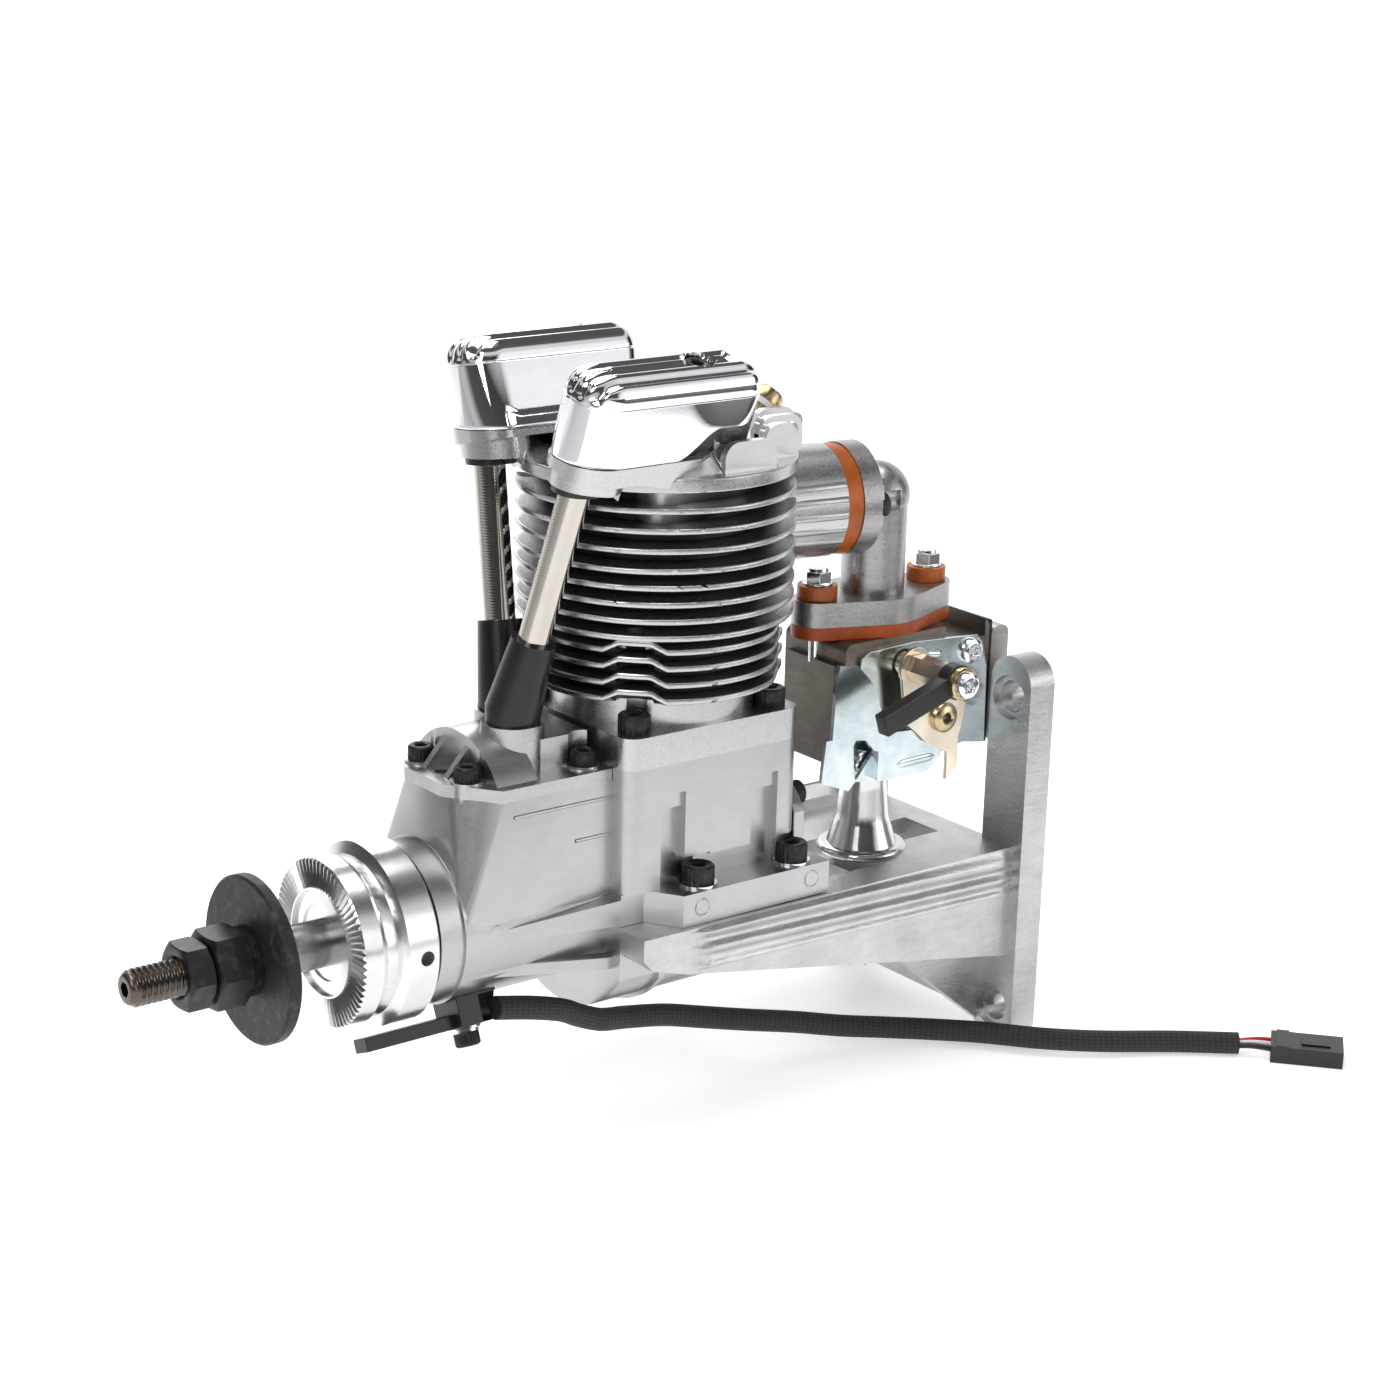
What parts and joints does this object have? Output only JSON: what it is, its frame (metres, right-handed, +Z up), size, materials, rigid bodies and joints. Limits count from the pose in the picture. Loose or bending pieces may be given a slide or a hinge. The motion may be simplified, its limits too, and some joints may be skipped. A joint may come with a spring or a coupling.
{
  "type": "model aircraft engine",
  "caption": "Four-stroke model aircraft petrol engine with finned upright cylinder, leaning rocker boxes, diaphragm carburettor, propeller hub and cast firewall mount",
  "frame": {"origin": "middle of the four firewall holes, on the rear face of the mount frame", "axes": "+X to the rear along the crankshaft, out of the firewall face; +Y to the far side, away from the carburettor linkage; +Z up along the cylinder"},
  "size_m": [0.2707, 0.125, 0.1686],
  "materials": {
    "steel": "machined",
    "dark_steel": "hardened",
    "black_steel": "black oxide",
    "turned_aluminium": "bright turned",
    "cast_aluminium": "satin die-cast",
    "blasted_aluminium": "bead blasted",
    "mount_aluminium": "rough cast",
    "chrome": "polished",
    "tube_steel": "polished",
    "black_rubber": "matte",
    "plug_ceramic": "glazed",
    "orange_insulator": "moulded phenolic",
    "carb_casting": "grey-brown casting",
    "pump_casting": "cast",
    "zinc_plate": "zinc plated",
    "brass": "turned",
    "champagne_plate": "stamped and plated",
    "black_plastic": "moulded",
    "braided_sleeve": "braided"
  },
  "bodies": {
    "engine": {"crankcase": "cast_aluminium", "front_housing": "cast_aluminium", "shaft_bearings": "steel", "rear_cover": "cast_aluminium", "case_screws": "black_steel", "cam_cover": "cast_aluminium", "cylinder": "blasted_aluminium", "cylinder_screws": "black_steel", "spark_plug": "plug_ceramic", "intake_rocker_cover": "chrome", "exhaust_rocker_cover": "chrome", "rocker_cover_screws": "black_steel", "rocker_shafts": "steel", "intake_valve_spring": "dark_steel", "exhaust_valve_spring": "dark_steel", "pushrod_tubes": "tube_steel", "tube_seals": "black_rubber", "rubber_boots": "black_rubber", "intake_insulator": "orange_insulator", "intake_elbow": "cast_aluminium", "elbow_screws": "black_steel", "carb_insulator": "orange_insulator", "stud_bushes": "orange_insulator", "carb_studs": "steel", "carb_body": "carb_casting", "pump_gasket": "black_rubber", "pump_cover": "pump_casting", "linkage_bracket": "zinc_plate", "bracket_screws": "zinc_plate", "velocity_stack": "turned_aluminium", "engine_mount": "mount_aluminium", "mount_screws": "black_steel", "mount_washers": "zinc_plate", "sensor_holder": "black_plastic", "sensor_screws": "zinc_plate", "sensor_lead": "braided_sleeve", "lead_plug": "black_plastic"},
    "crank": {"crankshaft": "steel", "crank_gear": "dark_steel", "drive_hub": "turned_aluminium", "trigger_magnet": "steel", "prop_washer": "black_steel", "prop_nut": "black_steel", "lock_nut": "black_steel"},
    "cam": {"camshaft": "dark_steel"},
    "piston_group": {"piston": "turned_aluminium", "connecting_rod": "turned_aluminium", "rod_pins": "steel"},
    "intake_valve_body": {"intake_valve": "steel"},
    "exhaust_valve_body": {"exhaust_valve": "steel"},
    "intake_rocker_body": {"intake_rocker": "dark_steel"},
    "exhaust_rocker_body": {"exhaust_rocker": "dark_steel"},
    "intake_pushrod_body": {"intake_pushrod": "steel"},
    "exhaust_pushrod_body": {"exhaust_pushrod": "steel"},
    "throttle": {"throttle_shaft": "steel", "throttle_spacer": "brass", "throttle_lever": "champagne_plate", "throttle_arm": "black_plastic"},
    "choke": {"choke_shaft": "steel", "choke_lever": "zinc_plate"}
  },
  "joints": [
    {"name": "crank_spin", "type": "hinge", "parent": "engine", "child": "crank", "pos_m": [-0.1345, 0, 0.0058], "axis": [1, 0, 0], "continuous": true},
    {"name": "cam_spin", "type": "hinge", "parent": "engine", "child": "cam", "pos_m": [-0.1345, 0, 0.0274], "axis": [1, 0, 0], "continuous": true},
    {"name": "piston_slide", "type": "slide", "parent": "engine", "child": "piston_group", "axis": [0, 0, 1], "range_m": [0, 0.032]},
    {"name": "intake_valve_lift", "type": "slide", "parent": "engine", "child": "intake_valve_body", "axis": [0, 0.2756, -0.9613], "range_m": [0, 0.004], "stiffness_N_per_m": 800, "springref_m": -0.003, "deforming": ["intake_valve_spring"]},
    {"name": "exhaust_valve_lift", "type": "slide", "parent": "engine", "child": "exhaust_valve_body", "axis": [0, -0.2756, -0.9613], "range_m": [0, 0.004], "stiffness_N_per_m": 800, "springref_m": -0.003, "deforming": ["exhaust_valve_spring"]},
    {"name": "intake_rocker_pivot", "type": "hinge", "parent": "engine", "child": "intake_rocker_body", "pos_m": [-0.10425, -0.01974, 0.11163], "axis": [0, 0.9613, 0.2756], "range_deg": [0, 13.8]},
    {"name": "exhaust_rocker_pivot", "type": "hinge", "parent": "engine", "child": "exhaust_rocker_body", "pos_m": [-0.10425, 0.01974, 0.11163], "axis": [0, 0.9613, -0.2756], "range_deg": [0, 13.8]},
    {"name": "intake_pushrod_lift", "type": "slide", "parent": "engine", "child": "intake_pushrod_body", "axis": [0, 0, 1], "range_m": [0, 0.004]},
    {"name": "exhaust_pushrod_lift", "type": "slide", "parent": "engine", "child": "exhaust_pushrod_body", "axis": [0, 0, 1], "range_m": [0, 0.004]},
    {"name": "throttle_turn", "type": "hinge", "parent": "engine", "child": "throttle", "pos_m": [-0.0345, -0.019, 0.0488], "axis": [0, -1, 0], "range_deg": [-26, 44]},
    {"name": "choke_turn", "type": "hinge", "parent": "engine", "child": "choke", "pos_m": [-0.0345, -0.019, 0.0298], "axis": [0, -1, 0], "range_deg": [0, 40]}
  ],
  "couplings": [
    {"joint": "cam_spin", "follows": "crank_spin", "ratio": -0.5},
    {"joint": "intake_rocker_pivot", "follows": "intake_valve_lift", "rad_per_m": 59.702},
    {"joint": "exhaust_rocker_pivot", "follows": "exhaust_valve_lift", "rad_per_m": 59.702},
    {"joint": "intake_pushrod_lift", "follows": "intake_valve_lift", "ratio": 1},
    {"joint": "exhaust_pushrod_lift", "follows": "exhaust_valve_lift", "ratio": 1}
  ]
}
